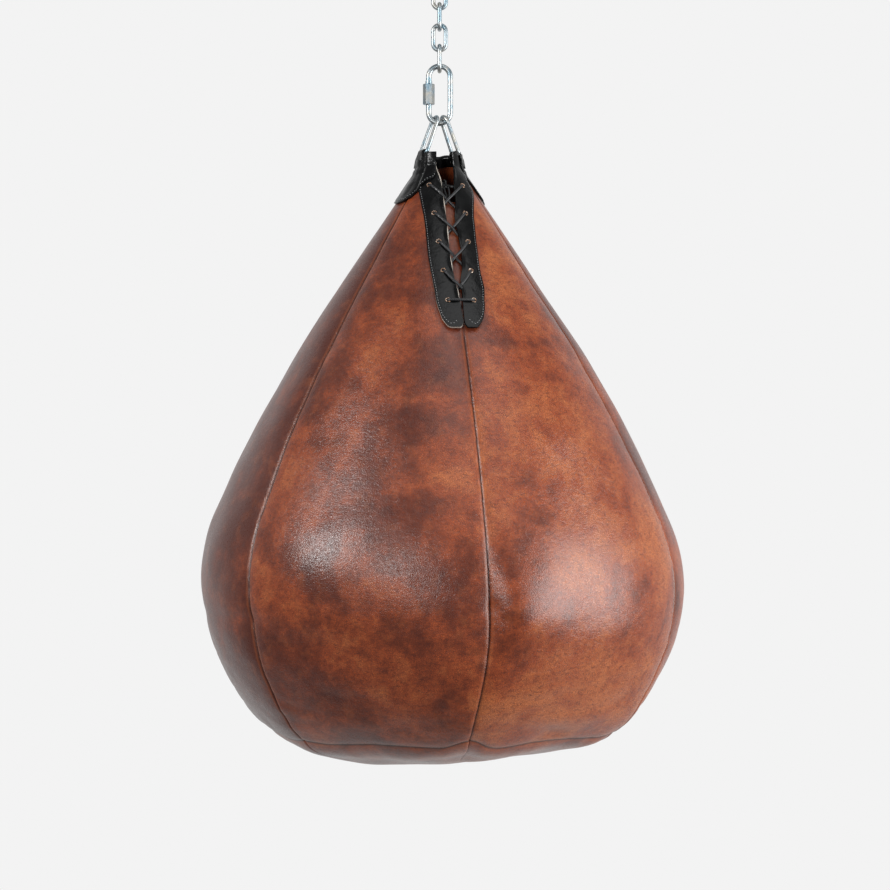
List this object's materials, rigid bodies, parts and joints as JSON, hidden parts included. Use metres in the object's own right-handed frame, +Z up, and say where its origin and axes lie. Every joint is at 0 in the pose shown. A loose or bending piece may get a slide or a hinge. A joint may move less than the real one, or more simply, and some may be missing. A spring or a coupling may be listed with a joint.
{
  "type": "teardrop punch bag",
  "caption": "Teardrop-shaped leather punch bag with a laced neck opening, hung from rings, a quick link, a short chain and a swivel.",
  "frame": {"origin": "centre of the swivel's hanging hole", "axes": "+Z up along the chain and the bag's axis, -Y the front with the laced closure, +X to the right of it"},
  "size_m": [0.5158, 0.5158, 0.9289],
  "materials": {
    "zinc_steel": "bright zinc plating, lightly handled",
    "bag_leather": "mottled chestnut, smooth grain, soft sheen",
    "black_leather": "black, smooth grain, soft sheen",
    "lace_leather": "black round lace, waxed",
    "filling": "packed textile pieces",
    "eyelet_brass": "aged rolled metal"
  },
  "bodies": {
    "swivel_frame": {"swivel_frame": "zinc_steel", "swivel_washer": "zinc_steel"},
    "swivel_eye": {"swivel_eye": "zinc_steel"},
    "chain_link_1": {"chain_link_1": "zinc_steel"},
    "chain_link_2": {"chain_link_2": "zinc_steel"},
    "chain_link_3": {"chain_link_3": "zinc_steel"},
    "chain_link_4": {"chain_link_4": "zinc_steel"},
    "chain_link_5": {"chain_link_5": "zinc_steel"},
    "quick_link": {"quick_link": "zinc_steel"},
    "quick_link_sleeve": {"quick_link_sleeve": "zinc_steel"},
    "ring_left": {"ring_left": "zinc_steel"},
    "ring_right": {"ring_right": "zinc_steel"},
    "bag": {"gore_front_right": "bag_leather", "gore_right": "bag_leather", "gore_back_right": "bag_leather", "gore_back_left": "bag_leather", "gore_left": "bag_leather", "gore_front_left": "bag_leather", "bottom_panel": "bag_leather", "closure_tongue": "bag_leather", "textile_filling": "filling", "neck_patch_left": "black_leather", "neck_patch_right": "black_leather", "lacing_flap_left": "black_leather", "lacing_flap_right": "black_leather", "eyelets_left": "eyelet_brass", "eyelets_right": "eyelet_brass", "tab_left": "black_leather", "tab_right": "black_leather", "lace": "lace_leather", "lace_knot": "lace_leather"}
  },
  "joints": [
    {"name": "swivel_spin", "type": "hinge", "parent": "swivel_frame", "child": "swivel_eye", "pos_m": [0, 0, -0.033], "axis": [0, 0, 1], "continuous": true},
    {"name": "chain_link_1_rock", "type": "hinge", "parent": "swivel_eye", "child": "chain_link_1", "pos_m": [0, 0, -0.059], "axis": [1, 0, 0], "range_deg": [-30, 30]},
    {"name": "chain_link_2_rock", "type": "hinge", "parent": "chain_link_1", "child": "chain_link_2", "pos_m": [0, 0, -0.0808], "axis": [0, 1, 0], "range_deg": [-30, 30]},
    {"name": "chain_link_3_rock", "type": "hinge", "parent": "chain_link_2", "child": "chain_link_3", "pos_m": [0, 0, -0.1033], "axis": [1, 0, 0], "range_deg": [-30, 30]},
    {"name": "chain_link_4_rock", "type": "hinge", "parent": "chain_link_3", "child": "chain_link_4", "pos_m": [0, 0, -0.1258], "axis": [0, 1, 0], "range_deg": [-30, 30]},
    {"name": "chain_link_5_rock", "type": "hinge", "parent": "chain_link_4", "child": "chain_link_5", "pos_m": [0, 0, -0.1483], "axis": [1, 0, 0], "range_deg": [-30, 30]},
    {"name": "quick_link_rock", "type": "hinge", "parent": "chain_link_5", "child": "quick_link", "pos_m": [0, 0, -0.1708], "axis": [0, 1, 0], "range_deg": [-30, 30]},
    {"name": "quick_link_sleeve_travel", "type": "slide", "parent": "quick_link", "child": "quick_link_sleeve", "axis": [0, 0, 1], "range_m": [-0.0083, 0]},
    {"name": "bag_rock", "type": "hinge", "parent": "quick_link", "child": "bag", "pos_m": [0, 0, -0.22566], "axis": [1, 0, 0], "range_deg": [-15, 15]},
    {"name": "ring_left_play", "type": "hinge", "parent": "bag", "child": "ring_left", "pos_m": [-0.01748, -0.00554, -0.26015], "axis": [-0.4226, 0.9063, 0], "range_deg": [0, 1.5]},
    {"name": "ring_right_play", "type": "hinge", "parent": "bag", "child": "ring_right", "pos_m": [0.01748, 0.00554, -0.26015], "axis": [0.4226, -0.9063, 0], "range_deg": [0, 1.5]}
  ]
}
